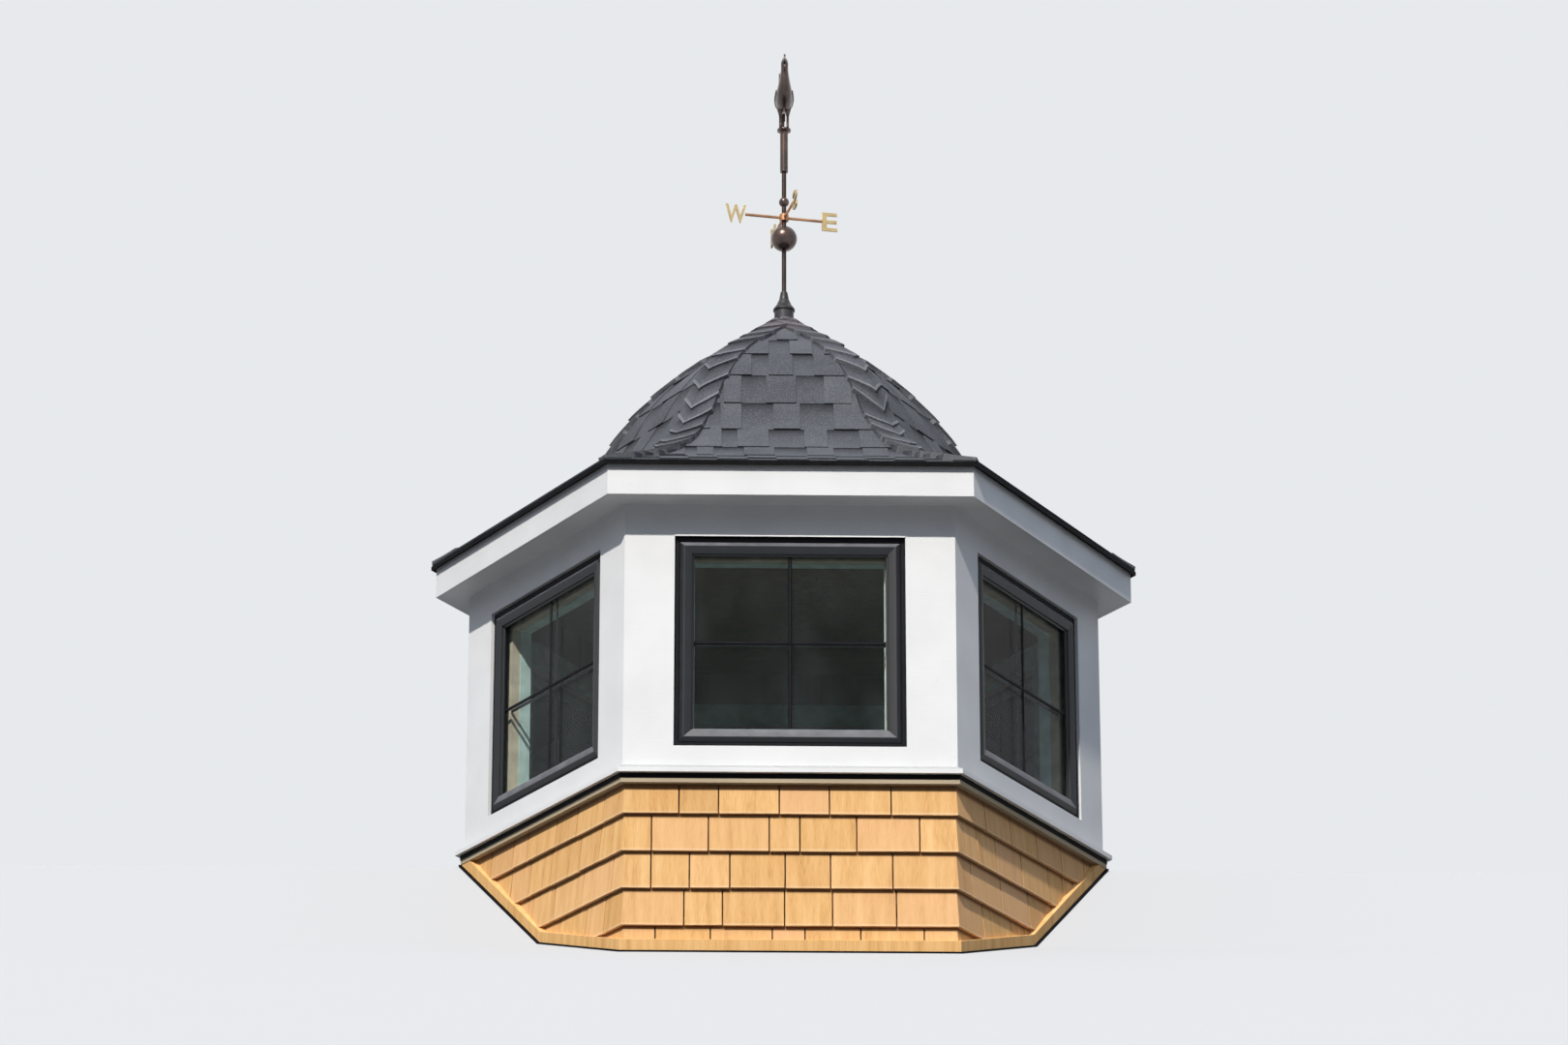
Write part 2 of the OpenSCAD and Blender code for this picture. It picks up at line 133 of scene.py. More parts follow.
def one_each(values, rows, columns):
    """One value a closed sheet, given to all its points."""
    return np.repeat(values, 2 * rows * columns)


def link(name, data):
    """Makes an object and links it to the scene."""
    thing = bpy.data.objects.new(name, data)
    bpy.context.scene.collection.objects.link(thing)
    return thing


def finished_piece(name, mesh, material, body="cupola"):
    """Makes a piece of a mesh, with its finish, that rides on a body."""
    mesh.materials.clear()
    mesh.materials.append(material)
    piece = link(name, mesh)
    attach(piece, body)
    return piece


def add_piece(name, shape, material):
    """Makes a piece of a shape."""
    points, faces, values = shape
    mesh = bpy.data.meshes.new(name)
    mesh.from_pydata(points, [], faces)
    for key, numbers in values.items():
        mesh.attributes.new(key, "FLOAT", "POINT").data.foreach_set("value", np.asarray(numbers, np.float32))
    mesh.update()
    return finished_piece(name, mesh, material)


def round_shading(mesh, degrees):
    """Shades a mesh round where its faces meet at less than so many degrees."""
    mesh.shade_smooth()
    mesh.set_sharp_from_angle(angle=math.radians(degrees))


# Material nodes. A colour is a socket, or red, green and blue.

def add(tree, kind, inputs, **choices):
    """Adds a node, sets its choices, and fills or links its inputs."""
    node = tree.nodes.new(kind)
    for key, value in choices.items():
        setattr(node, key, value)
    for key, value in inputs.items():
        if isinstance(value, bpy.types.NodeSocket):
            tree.links.new(value, node.inputs[key])
        else:
            node.inputs[key].default_value = value
    return node


def new_finish(name, **settings):
    """A material, its node tree and its main shader, with the settings that are the same all over."""
    material = bpy.data.materials.new(name)
    material.use_nodes = True
    shader = material.node_tree.nodes["Principled BSDF"]
    for key, value in settings.items():
        shader.inputs[key.replace("_", " ")].default_value = value
    return material, material.node_tree, shader


def place(tree, scale=(1, 1, 1), shift=None):
    """Object coordinates stretched by scale, and moved by a socket or nothing."""
    where = add(tree, "ShaderNodeTexCoord", {}).outputs["Object"]
    if shift is not None:
        where = add(tree, "ShaderNodeVectorMath", {0: where, 1: shift}, operation="ADD").outputs[0]
    return add(tree, "ShaderNodeMapping", {"Vector": where, "Scale": scale}).outputs[0]


def part_of(tree, vector, axis):
    """One part of a vector socket: 0, 1 and 2 for x, y and z."""
    return add(tree, "ShaderNodeSeparateXYZ", {0: vector}).outputs[axis]


def upward(tree):
    """How far the surface faces up, from 1 for straight up to -1 for straight down."""
    return part_of(tree, add(tree, "ShaderNodeNewGeometry", {}).outputs["Normal"], 2)


def value_of(tree, name):
    return add(tree, "ShaderNodeAttribute", {}, attribute_name=name).outputs["Fac"]


def noise(tree, where, scale, detail=3.0, roughness=0.5):
    return add(tree, "ShaderNodeTexNoise", {
        "Vector": where, "Scale": scale, "Detail": detail, "Roughness": roughness}).outputs[0]


def maths(tree, operation, a, b):
    return add(tree, "ShaderNodeMath", {0: a, 1: b}, operation=operation).outputs[0]


def spread(tree, value, low, high, to_low=0.0, to_high=1.0):
    """Maps low to high onto another range, held inside it."""
    return add(tree, "ShaderNodeMapRange", {
        "Value": value, "From Min": low, "From Max": high, "To Min": to_low, "To Max": to_high}).outputs[0]


def mix(tree, factor, a, b, blend="MIX"):
    """Mixes two colours."""
    a, b = (c if isinstance(c, bpy.types.NodeSocket) else (*c, 1) for c in (a, b))
    node = add(tree, "ShaderNodeMix", {0: factor, 6: a, 7: b}, data_type="RGBA", blend_type=blend)
    return node.outputs[2]


def ramp(tree, factor, stops):
    """Colour ramp with its stops as (place, colour)."""
    node = add(tree, "ShaderNodeValToRGB", {0: factor})
    bar = node.color_ramp.elements
    while len(bar) < len(stops):
        bar.new(0.5)
    for element, (position, shade) in zip(bar, stops):
        element.position, element.color = position, (*shade, 1)
    return node.outputs[0]


def bump(tree, shader, height, distance, strength):
    normal = add(tree, "ShaderNodeBump", {"Height": height, "Distance": distance, "Strength": strength})
    tree.links.new(normal.outputs[0], shader.inputs["Normal"])


def colour(tree, shader, socket):
    tree.links.new(socket, shader.inputs["Base Color"])


def rough(tree, shader, socket):
    tree.links.new(socket, shader.inputs["Roughness"])


def seen(tree):
    """1 for rays from the camera, off gloss and through glass, to which the background is pale, and 0
    for the rays that light the object."""
    path = add(tree, "ShaderNodeLightPath", {}).outputs
    other = maths(tree, "MAXIMUM", path["Is Glossy Ray"], path["Is Transmission Ray"])
    return maths(tree, "MAXIMUM", path["Is Camera Ray"], other)


# Finishes

def cedar_finish(name, by_shingle):
    """Sawn cedar: upright grain in fine streaks over broad bands. Where it is a shingle it has its own tone,
    warmth and stretch of grain, a painted highlight along its butt, and painted shadow under the course
    above it and under the bed strip."""
    material, tree, shader = new_finish(name, Specular_IOR_Level=0.25)
    shift = value_of(tree, "grain") if by_shingle else None
    fine = noise(tree, place(tree, (260, 260, 9), shift), 1.0, 4.0, 0.6)
    broad = noise(tree, place(tree, (38, 38, 1.6), shift), 1.0)
    grain = maths(tree, "ADD", maths(tree, "MULTIPLY", fine, 0.45), maths(tree, "MULTIPLY", broad, 0.55))
    wood = ramp(tree, grain, [
        (0.30, (0.58, 0.30, 0.105)), (0.46, (0.78, 0.445, 0.165)), (0.60, (0.86, 0.53, 0.225)),
        (0.78, (0.92, 0.60, 0.29))])
    if by_shingle:
        tint = ramp(tree, value_of(tree, "tone"), [
            (0.0, (0.80, 0.76, 0.74)), (0.3, (0.95, 0.93, 0.90)), (0.7, (1.0, 1.0, 1.0)),
            (1.0, (1.06, 1.08, 1.14))])
        wood = mix(tree, 1.0, wood, tint, "MULTIPLY")
        pink = spread(tree, value_of(tree, "warmth"), 0.0, 1.0, 0.0, 0.6)
        wood = mix(tree, pink, wood, (0.90, 0.52, 0.28))
        height = value_of(tree, "height")
        # Painted highlight: a paler band along the lower edge of each butt
        wood = mix(tree, spread(tree, height, 0.04, 0.07, 0.30, 0.0), wood, (0.97, 0.76, 0.50))
        # Painted shadow: dark brown just under the butt of the course above
        wood = mix(tree, spread(tree, height, 0.86, 0.96, 0.0, 0.82), wood, (0.10, 0.035, 0.012))
        # Painted shadow: dark brown in a band just under the bed strip
        z = part_of(tree, place(tree), 2)
        under = spread(tree, z, SHINGLE_TOP - 0.024, SHINGLE_TOP - 0.012, 0.0, 0.75)
        wood = mix(tree, under, wood, (0.10, 0.030, 0.010))
    colour(tree, shader, wood)
    rough(tree, shader, spread(tree, fine, 0.3, 0.7, 0.62, 0.85))
    bump(tree, shader, fine, 0.0009, 0.8)
    return material


def paint_finish(name, base, roughness):
    """Brushed exterior paint on wood: faint brush lines, slight unevenness and a few specks. Where the wood
    faces up it is darker, partly from settled grime and partly from painted shade that dims the lit tops."""
    material, tree, shader = new_finish(name, Specular_IOR_Level=0.4)
    patches = noise(tree, place(tree), 5.0, 4.0)
    lines = noise(tree, place(tree, (140, 140, 140)), 1.0)
    brush = noise(tree, place(tree, (9, 9, 240)), 1.0, 2.0)
    dull, grime_and_shade = (tuple(c * part for c in base) for part in (0.93, 0.5))
    shade = mix(tree, spread(tree, patches, 0.35, 0.7), base, dull)
    specks = spread(tree, noise(tree, place(tree), 55.0, 2.0), 0.70, 0.78, 0.0, 0.10)
    shade = mix(tree, specks, shade, (0.45, 0.43, 0.38))
    # Darker where the wood faces up: settled grime, and painted shade that dims the lit tops
    colour(tree, shader, mix(tree, spread(tree, upward(tree), 0.15, 0.6), shade, grime_and_shade))
    rough(tree, shader, spread(tree, patches, 0.3, 0.7, roughness, roughness + 0.14))
    bump(tree, shader, maths(tree, "ADD", maths(tree, "MULTIPLY", lines, 0.4), brush), 0.0004, 0.6)
    return material


def asphalt_finish():
    """Mineral granules: fine speckle of light and dark grains over each tab's own shade, which also carries
    the painted shade under the butts and the painted highlight on the caps' lips, with a warmer tone on the
    caps round the tip. The light grains fade where the shade is dark."""
    material, tree, shader = new_finish("asphalt_granules", Specular_IOR_Level=0.3)
    where = place(tree)
    grains = add(tree, "ShaderNodeTexVoronoi", {"Vector": where, "Scale": 420.0}).outputs[0]
    speckle = noise(tree, where, 190.0, 3.0, 0.7)
    cloud = noise(tree, where, 14.0)
    shade = maths(tree, "ADD", value_of(tree, "shade"), spread(tree, cloud, 0.3, 0.7, -0.07, 0.07))
    body = ramp(tree, shade, [
        (0.0, (0.014, 0.015, 0.019)), (0.35, (0.056, 0.060, 0.070)), (0.65, (0.094, 0.100, 0.113)),
        (1.0, (0.180, 0.187, 0.203))])
    tip = spread(tree, part_of(tree, where, 2), PEAK_Z - 0.115, PEAK_Z - 0.085, 0.0, 0.6)
    body = mix(tree, tip, body, (0.165, 0.140, 0.150))
    light = spread(tree, speckle, 0.55, 0.75, 0.0, 0.55)
    light = maths(tree, "MULTIPLY", light, spread(tree, shade, 0.0, 0.4))
    body = mix(tree, light, body, (0.30, 0.31, 0.33))
    dark = spread(tree, speckle, 0.45, 0.28, 0.0, 0.65)
    colour(tree, shader, mix(tree, dark, body, (0.015, 0.016, 0.020)))
    rough(tree, shader, spread(tree, grains, 0.0, 0.8, 0.75, 0.95))
    bump(tree, shader, maths(tree, "ADD", grains, speckle), 0.0012, 0.7)
    return material


def plain_finish(name, base, roughness, gloss):
    """Even matte coating with a little unevenness of tone."""
    material, tree, shader = new_finish(name, Roughness=roughness, Specular_IOR_Level=gloss)
    patches = noise(tree, place(tree), 18.0, 4.0)
    worn = tuple(c * 1.35 + 0.002 for c in base)
    colour(tree, shader, mix(tree, spread(tree, patches, 0.4, 0.7), base, worn))
    return material


def satin_finish():
    """Black satin window coating, paler where it faces up: a painted highlight for the glint on its upturned
    faces.
    """
    material, tree, shader = new_finish("window_coating", Specular_IOR_Level=0.5)
    dust = noise(tree, place(tree), 22.0, 4.0)
    pits = noise(tree, place(tree), 420.0, 2.0)
    worn = spread(tree, dust, 0.4, 0.75, 0.0, 0.6)
    black = mix(tree, worn, (0.004, 0.005, 0.008), (0.010, 0.012, 0.017))
    # Painted highlight: paler grey on the faces that turn up, in patches
    facing = spread(tree, upward(tree), 0.12, 0.42)
    upturned_highlight = maths(tree, "MULTIPLY", facing, spread(tree, dust, 0.3, 0.7, 0.55, 1.0))
    colour(tree, shader, mix(tree, upturned_highlight, black, (0.17, 0.175, 0.195)))
    rough(tree, shader, spread(tree, dust, 0.3, 0.7, 0.50, 0.56))
    bump(tree, shader, pits, 0.0002, 0.4)
    return material


def board_finish():
    """Bare brown boards: the framing seen from inside and in the joints between the shingles."""
    material, tree, shader = new_finish("inside_boards", Specular_IOR_Level=0.2)
    grain = noise(tree, place(tree, (30, 30, 3)), 1.0, 4.0)
    colour(tree, shader, ramp(tree, grain, [(0.35, (0.13, 0.070, 0.035)), (0.65, (0.20, 0.112, 0.055))]))
    rough(tree, shader, spread(tree, grain, 0.3, 0.7, 0.6, 0.8))
    bump(tree, shader, grain, 0.0006, 0.5)
    return material


def glass_finish():
    """Tinted glass with a faint film of dust whose pale patches are also a painted reflection, darker in the
    three windows at the back, and clear to the light that comes in."""
    front_tint, back_tint, light_tint = 0.20, 0.92, 0.05
    material, tree, shader = new_finish("tinted_glass", Roughness=0.03, Specular_IOR_Level=0.5)
    patches = noise(tree, place(tree, (1, 1, 0.7)), 6.0, 3.0, 0.55)
    # Dust film: its pale patches are also a painted reflection
    film = spread(tree, patches, 0.40, 0.75)
    colour(tree, shader, mix(tree, film, (0.008, 0.017, 0.015), (0.060, 0.078, 0.078)))
    tint = spread(tree, part_of(tree, place(tree), 1), -0.02, 0.02, front_tint, back_tint)
    shadow = add(tree, "ShaderNodeLightPath", {}).outputs["Is Shadow Ray"]
    alpha = add(tree, "ShaderNodeMix", {0: shadow, 2: tint, 3: light_tint}).outputs[0]
    tree.links.new(alpha, shader.inputs["Alpha"])
    return material


def metal_finish(name, clean, aged, low_rough, high_rough, metallic, coat=0.0):
    """Weathered metal: two tones in soft patches with fine pitting, lacquered by coat."""
    material, tree, shader = new_finish(name, Metallic=metallic, Coat_Weight=coat, Coat_Roughness=0.25)
    patches = noise(tree, place(tree), 26.0, 5.0, 0.6)
    pits = noise(tree, place(tree), 300.0)
    colour(tree, shader, mix(tree, spread(tree, patches, 0.38, 0.62), clean, aged))
    rough(tree, shader, spread(tree, patches, 0.3, 0.7, low_rough, high_rough))
    bump(tree, shader, pits, 0.0004, 0.4)
    return material


CEDAR = cedar_finish("cedar_shingle", True)
CEDAR_STRIP = cedar_finish("cedar_strip", False)
PALE_STRIP = paint_finish("pale_wood_strip", (0.50, 0.41, 0.28), 0.6)
WHITE = paint_finish("white_paint", (0.86, 0.865, 0.87), 0.42)
INSIDE = board_finish()
ASPHALT = asphalt_finish()
SATIN = satin_finish()
BAND_COAT = plain_finish("band_coating", (0.006, 0.006, 0.009), 0.6, 0.12)
CREAM = plain_finish("cream_frame", (0.66, 0.62, 0.48), 0.5, 0.3)
LINER = plain_finish("pale_liner", (0.56, 0.78, 0.74), 0.5, 0.3)
GLASS = glass_finish()
BLACK = plain_finish("black_flashing", (0.004, 0.004, 0.005), 0.6, 0.05)
UNDERLAY = plain_finish("roof_boards_edge", (0.006, 0.006, 0.007), 0.8, 0.05)
BRONZE = metal_finish("aged_copper", (0.105, 0.060, 0.045), (0.045, 0.030, 0.026), 0.25, 0.45, 0.85, 0.8)
COPPER = metal_finish("bright_copper", (0.62, 0.33, 0.17), (0.36, 0.18, 0.10), 0.3, 0.5, 0.9)
BRASS = metal_finish("aged_brass", (0.66, 0.52, 0.28), (0.46, 0.34, 0.17), 0.35, 0.55, 0.8)
DARK_IRON = metal_finish("dark_iron", (0.055, 0.035, 0.028), (0.03, 0.022, 0.02), 0.35, 0.55, 0.7)
LEAD = metal_finish("grey_flashing", (0.060, 0.058, 0.064), (0.025, 0.025, 0.028), 0.35, 0.55, 0.5)


# Asphalt roof covering

# Courses: the cut first one, the exposure of the others, how far each runs on under the next, and the
# room that the last butt and the last head keep to the tip
FIRST_EXPOSURE, EXPOSURE, HEAD_LAP = 0.085, 0.146, 0.03
LAST_BUTT, LAST_HEAD = 0.06, 0.003

# A course's full strip: thickness at butt and head, and its shade, a printed shadow band deepened by
# painted shade, which darkens from a part of the exposure up to the butt above
BASE_T, BASE_HEAD_T = 0.0035, 0.0012
BAND_PARTS, BAND_PRINT_AND_SHADE = [0.30, 0.62, 0.88, 1.0], [0.54, 0.43, 0.20, 0.02]

# Raised tabs: thickness at butt and head, the least width that is kept, the ranges of a tab's width, of
# the gap beside it and of the first gap's shift, and the ranges of a tab's unevenness and shade
TAB_T, TAB_HEAD_T, LEAST_TAB_W = 0.0075, 0.003, 0.015
TAB_WIDTHS, GAP_WIDTHS, GAP_SHIFT = (0.095, 0.125), (0.085, 0.112), (0.0, 0.2)
TAB_UNEVEN, TAB_SHADES = (-0.0012, 0.0008), (0.46, 0.66)

# Gaps between the tabs on the front, as start and end in millimetres from the middle, from the eave up
FRONT_GAPS = [
    [(-520, -430), (-330, -240), (-140, -45), (60, 150), (255, 340), (440, 530)],
    [(-430, -335), (-240, -140), (-45, 55), (150, 245), (345, 440)],
    [(-345, -305), (-250, -149), (-48, 60), (149, 246), (330, 420)],
    [(-222, -170), (-65, 54), (131, 238)],
    [(-262, -225), (-155, -48), (42, 155)],
    [(-250, -215), (-155, -71), (30, 125), (215, 260)],
    [(-120, -62), (20, 92)],
    [(-60, 12), (88, 130)],
    [(-90, -30), (40, 95)],
    [(-30, 20)],
]

# Hip caps: their exposures along the hip from the eave up, their lap, half their width and its part at
# butt and head, how steep the rake is, how round the fold is, and how far they pass the slopes' edge
CAP_EXPOSURES = [0.075] * 8 + [0.095] * 2 + [0.112] * 9
CAP_LAP, CAP_HALF_W, CAP_BUTT_PART, CAP_HEAD_PART = 0.045, 0.062, 1.06, 0.90
CAP_RAKE, CAP_FOLD, CAP_PAST_EDGE = 1.25, 0.005, 0.0035

# Near the tip: how far a cap may reach past its own sixth of the roof, and its least r, which grows
# with p
TIP_REACH, TIP_RAKE, TIP_ROOM = 1.05, 0.55, 0.004

# The caps' lift over the slope at butt, head and underside, and the further lift of a butt's corners, whose
# part falls along the hip where the roof is no longer hollow
CAP_BUTT_LIFT, CAP_HEAD_LIFT, CAP_UNDER_LIFT, CAP_CORNER_LIFT = 0.0185, 0.0070, 0.003, 0.0085
HOLLOW_S, HOLLOW_PARTS = [0.45, 0.75], [1.0, 0.2]

# Places of the rows of points up a cap, which are close at the lip, how much paler it is there, a painted
# highlight, and how much darker towards its head, a painted shade under the cap above, and the ranges of
# its shift, rake, unevenness of width, and shade
CAP_ROWS = [0, 0.10, 0.14, 0.3, 0.5, 0.7, 0.85, 1.0]
LIP_PLACES, LIP_HIGHLIGHT_AND_SHADE = [0.10, 0.14, 0.3, 0.6], [0.42, 0.0, 0.0, -0.3]
CAP_SHIFTS, CAP_RAKES, CAP_UNEVEN, CAP_SHADES = (-0.008, 0.008), (0.8, 1.15), (-0.003, 0.003), (0.40, 0.62)


def roof_line():
    """Roof curve from the eave up, as arc length, distance from the axis, height and slope. Both round
    stretches are arcs with the slope as their parameter, and the hollow's radius is the one that joins
    the steep side to the straight flare without a break."""
    steps, touch = 60, 1e-4
    shoulder_z = PEAK_Z - TIP_RISE - PEAK_A * math.tan(PEAK_SLOPE)
    over = np.linspace(PEAK_SLOPE, STEEP_SLOPE, steps)
    over_a = PEAK_A + SHOULDER_R * (np.sin(over) - math.sin(PEAK_SLOPE))
    over_z = shoulder_z - SHOULDER_R * (math.cos(PEAK_SLOPE) - np.cos(over))
    slope_points = [v.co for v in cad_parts["front_slope"].data.vertices]
    eave_z = max(point.z for point in slope_points if point.y < touch - ROOF_EDGE_A)
    fall = math.tan(FLARE_SLOPE)
    radius = (over_z[-1] - eave_z - (ROOF_EDGE_A - over_a[-1]) * fall) / (
        math.cos(FLARE_SLOPE) - math.cos(STEEP_SLOPE)
        - (math.sin(STEEP_SLOPE) - math.sin(FLARE_SLOPE)) * fall)
    back = np.linspace(STEEP_SLOPE, FLARE_SLOPE, steps)[1:]
    back_a = over_a[-1] + radius * (math.sin(STEEP_SLOPE) - np.sin(back))
    back_z = over_z[-1] - radius * (np.cos(back) - math.cos(STEEP_SLOPE))
    a = np.concatenate([[0], over_a, back_a, [ROOF_EDGE_A]])[::-1]
    z = np.concatenate([[PEAK_Z], over_z, back_z, [eave_z]])[::-1]
    slope = np.concatenate([[PEAK_SLOPE], over, back, [FLARE_SLOPE]])[::-1]
    return np.concatenate([[0], np.cumsum(np.hypot(np.diff(a), np.diff(z)))]), a, z, slope


LINE_S, LINE_A, LINE_Z, LINE_SLOPE = roof_line()


def roof_points(s, x, lift):
    """Points of the front slope: s along the curve from the eave, x along the eave and held between the
    two hips, raised by lift at right angles to the slope."""
    slope = np.interp(s, LINE_S, LINE_SLOPE)
    a = np.interp(s, LINE_S, LINE_A) + lift * np.sin(slope)
    z = np.interp(s, LINE_S, LINE_Z) + lift * np.cos(slope)
    half = a * TAN30
    return np.stack([np.clip(x, -half, half), -a, z], -1)


def strips(butts, tops, left, right, butt_t, head_t, rows, columns, shade):
    """Closed strips on the front slope, each from its butt to under the course above, thickest at the
    butt: the lift falls in a straight line from butt_t to head_t. Of the first five values, those that
    differ between the strips are arrays with one a strip."""
    butts, tops, left, right, butt_t = (
        v[:, None, None] for v in np.broadcast_arrays(butts, tops, left, right, butt_t))
    up = np.linspace(0, 1, rows)[None, :, None]
    across = np.linspace(0, 1, columns)[None, None, :]
    s = np.minimum(butts + up * (tops - butts + HEAD_LAP), LINE_S[-1] - LAST_HEAD)
    s = np.broadcast_to(s, (len(butts), rows, columns))
    x = left + (right - left) * across
    lift = butt_t + (head_t - butt_t) * up
    return closed_sheets(roof_points(s, x, lift), roof_points(s, x, HAIR), shade=shade)


def tab_gaps(side, course, half, random):
    """Gaps between the raised tabs of one course, in metres from the middle of the slope. The course at
    the eave has gaps on the front only."""
    if side == 0:
        return [(start / 1000, end / 1000) for start, end in FRONT_GAPS[course]]
    gaps, x = [], -half - random.uniform(*GAP_SHIFT)
    while x < half:
        wide = random.uniform(*GAP_WIDTHS)
        gaps.append((x, x + wide))
        x += wide + random.uniform(*TAB_WIDTHS)
    return gaps if course else []


def slope_shingles(side, random):
    """Laminated courses on one slope: a full strip whose printed shadow band, deepened by painted shade,
    darkens towards the butt above it, and raised tabs on it with gaps between them."""
    butts = np.concatenate([[0], np.arange(FIRST_EXPOSURE, LINE_S[-1] - LAST_BUTT, EXPOSURE)])
    tops = np.append(butts[1:], LINE_S[-1])
    rows, columns = 11, 13
    exposure = (tops - butts)[:, None, None]
    part = np.linspace(0, 1, rows)[None, :, None] * (exposure + HEAD_LAP) / exposure
    # Printed shadow band, deepened by painted shade up to the butt above
    shade = np.interp(np.broadcast_to(part, (len(butts), rows, columns)), BAND_PARTS, BAND_PRINT_AND_SHADE)
    shapes = [strips(butts, tops, -ROOF_EDGE_A, ROOF_EDGE_A, BASE_T, BASE_HEAD_T,
                     rows, columns, on_both(shade))]

    rows, columns = 5, 3
    for course, (butt, top) in enumerate(zip(butts, tops)):
        half = np.interp(butt, LINE_S, LINE_A) * TAN30
        gaps = tab_gaps(side, course, half, random)
        edges = np.clip([-half] + [end for gap in gaps for end in gap] + [half], -half, half)
        left, right = edges[0::2], edges[1::2]
        kept = right - left > LEAST_TAB_W
        left, right = left[kept], right[kept]
        thick = TAB_T + random.uniform(*TAB_UNEVEN, len(left))
        shade = one_each(random.uniform(*TAB_SHADES, len(left)), rows, columns)
        shapes.append(strips(butt, top, left, right, thick, TAB_HEAD_T, rows, columns, shade))
    add_piece(SIDES[side] + "_roof_shingles", on_side(join(shapes), side), ASPHALT)


def hip_caps(random):
    """Cap shingles folded over the six hips. A point lies at r along the hip's plan and p to its side;
    there the slope's distance from the axis is r cos 30 + |p| / 2, which gives its height, and the fold
    is rounded by the root of p squared + CAP_FOLD squared in place of |p|. The butt is raked, so that r
    falls with |p|, and each cap is wider and thicker at its butt than at its head, most of all at its
    two corners where the roof is hollow. The lip along the butt is paler, a painted highlight, and each
    cap darkens towards its head, a painted shade under the cap above."""
    columns = 11
    hip_r = LINE_A / COS30
    hip_s = np.concatenate([[0], np.cumsum(np.hypot(np.diff(hip_r), np.diff(LINE_Z)))])
    starts = np.concatenate([[0], np.cumsum(CAP_EXPOSURES)])
    laps = np.append(np.diff(starts), CAP_EXPOSURES[-1]) + CAP_LAP
    kept = starts < hip_s[-1] - LAST_BUTT
    starts, laps = starts[kept, None, None], laps[kept, None, None]
    count = len(starts)
    up = np.array(CAP_ROWS)[None, :, None]
    across = np.linspace(-1, 1, columns)[None, None, :]
    # Painted highlight on the lip at the butt, and painted shade towards the head under the cap above
    lip = np.interp(up, LIP_PLACES, LIP_HIGHLIGHT_AND_SHADE)
    narrowing = CAP_BUTT_PART + (CAP_HEAD_PART - CAP_BUTT_PART) * up
    shapes = []
    for hip in range(6):
        begin = starts + random.uniform(*CAP_SHIFTS, (count, 1, 1))
        rake = CAP_RAKE * random.uniform(*CAP_RAKES, (count, 1, 1))
        half = CAP_HALF_W * narrowing + random.uniform(*CAP_UNEVEN, (count, 1, 1))
        r_hip = np.interp(begin + up * laps, hip_s, hip_r)
        p = across * np.minimum(half, r_hip * TAN30 * TIP_REACH)
        r = np.maximum(r_hip - rake * np.abs(p), np.abs(p) * TIP_RAKE + TIP_ROOM)
        a = r * COS30 + np.sqrt(p ** 2 + CAP_FOLD ** 2) / 2
        z = np.interp(a, LINE_A[::-1], LINE_Z[::-1])
        slope = np.interp(a, LINE_A[::-1], LINE_SLOPE[::-1])
        hollow = np.interp(begin, HOLLOW_S, HOLLOW_PARTS)
        lift = CAP_BUTT_LIFT + (CAP_HEAD_LIFT - CAP_BUTT_LIFT) * up
        lift = lift + CAP_CORNER_LIFT * hollow * across ** 2 * (1 - up)
        farthest = (ROOF_EDGE_A + CAP_PAST_EDGE - np.abs(p) / 2) / COS30

        def raised(by):
            along = np.minimum(r + by * np.sin(slope), farthest)
            return np.stack(np.broadcast_arrays(along, p, z + by * np.cos(slope)), -1)

        shade = random.uniform(*CAP_SHADES, (count, 1, 1)) + lip
        shade = on_both(np.broadcast_to(shade, (count, len(CAP_ROWS), columns)))
        caps = closed_sheets(raised(lift), raised(CAP_UNDER_LIFT), shade=shade)
        shapes.append(on_side(caps, hip))
    piece = add_piece("hip_cap_shingles", join(shapes), ASPHALT)
    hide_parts("hip_caps")


# Cedar shingles

# Height of the first whole course's butts, exposure, lap, thickness of a butt, and joint
FIRST_BUTT, COURSE_H, SHINGLE_LAP, BUTT_T, KEYWAY = 0.094, 0.124, 0.03, 0.013, 0.005

# Room between wall and shingles, how far the strip along the cut covers them, and the least width and
# height of a cut shingle that is kept
WALL_GAP, STRIP_COVERS, LEAST_SHINGLE_W, LEAST_SHINGLE_H = 0.0008, 0.006, 0.012, 0.004

# Widths: the ranges of a shingle's width and of the first joint's shift, and the least width at a corner
SHINGLE_WIDTHS, FIRST_SHIFT, LEAST_CORNER_W = (0.085, 0.215), (-0.06, 0.05), 0.045

# Unevenness of a shingle: its butt's height, its butt's tilt, and its thickness
BUTT_UNEVEN, BUTT_TILT, THIN_BY = 0.0012, 0.001, 0.0015

# The front's widths in millimetres, from the lowest course up
FRONT_WIDTHS = [
    [109, 176, 197, 104, 178, 202, 111],
    [200, 123, 198, 153, 204, 200],
    [94, 123, 129, 177, 145, 199, 211],
    [95, 182, 195, 98, 182, 202, 123],
    [182, 127, 195, 161, 198, 215],
]


def strip_top():
    """Heights of the top of the cedar strip along the saddle cut, at the middle, break and edge."""
    rise = FLASHING_H + STRIP_H
    return [CUT_TOP_Z + rise * STEEP_GAIN, BREAK_Z + rise, rise]


def cut_height(y):
    """Height at which the shingles stop behind the strip along the saddle cut."""
    return np.interp(np.abs(y), [0, PITCH_BREAK, SADDLE_A], strip_top())


def cut_distance(z):
    """Least distance in front of or behind the axis at which the cut lies below a height."""
    return np.interp(z, strip_top()[::-1], [SADDLE_A, PITCH_BREAK, 0])


def course_joints(side, course, random):
    """Places of the joints along one course, with its two ends a little past the corners."""
    half, past = BUTT_A * TAN30, 0.02
    if side == 0:
        joints = -half + np.cumsum(np.array(FRONT_WIDTHS[course]) / 1000)[:-1]
    else:
        widths = random.uniform(*SHINGLE_WIDTHS, 20)
        joints = -half + random.uniform(*FIRST_SHIFT) + np.cumsum(widths)
        joints = joints[np.abs(joints) < half - LEAST_CORNER_W]
    return np.concatenate([[-half - past], joints, [half + past]])


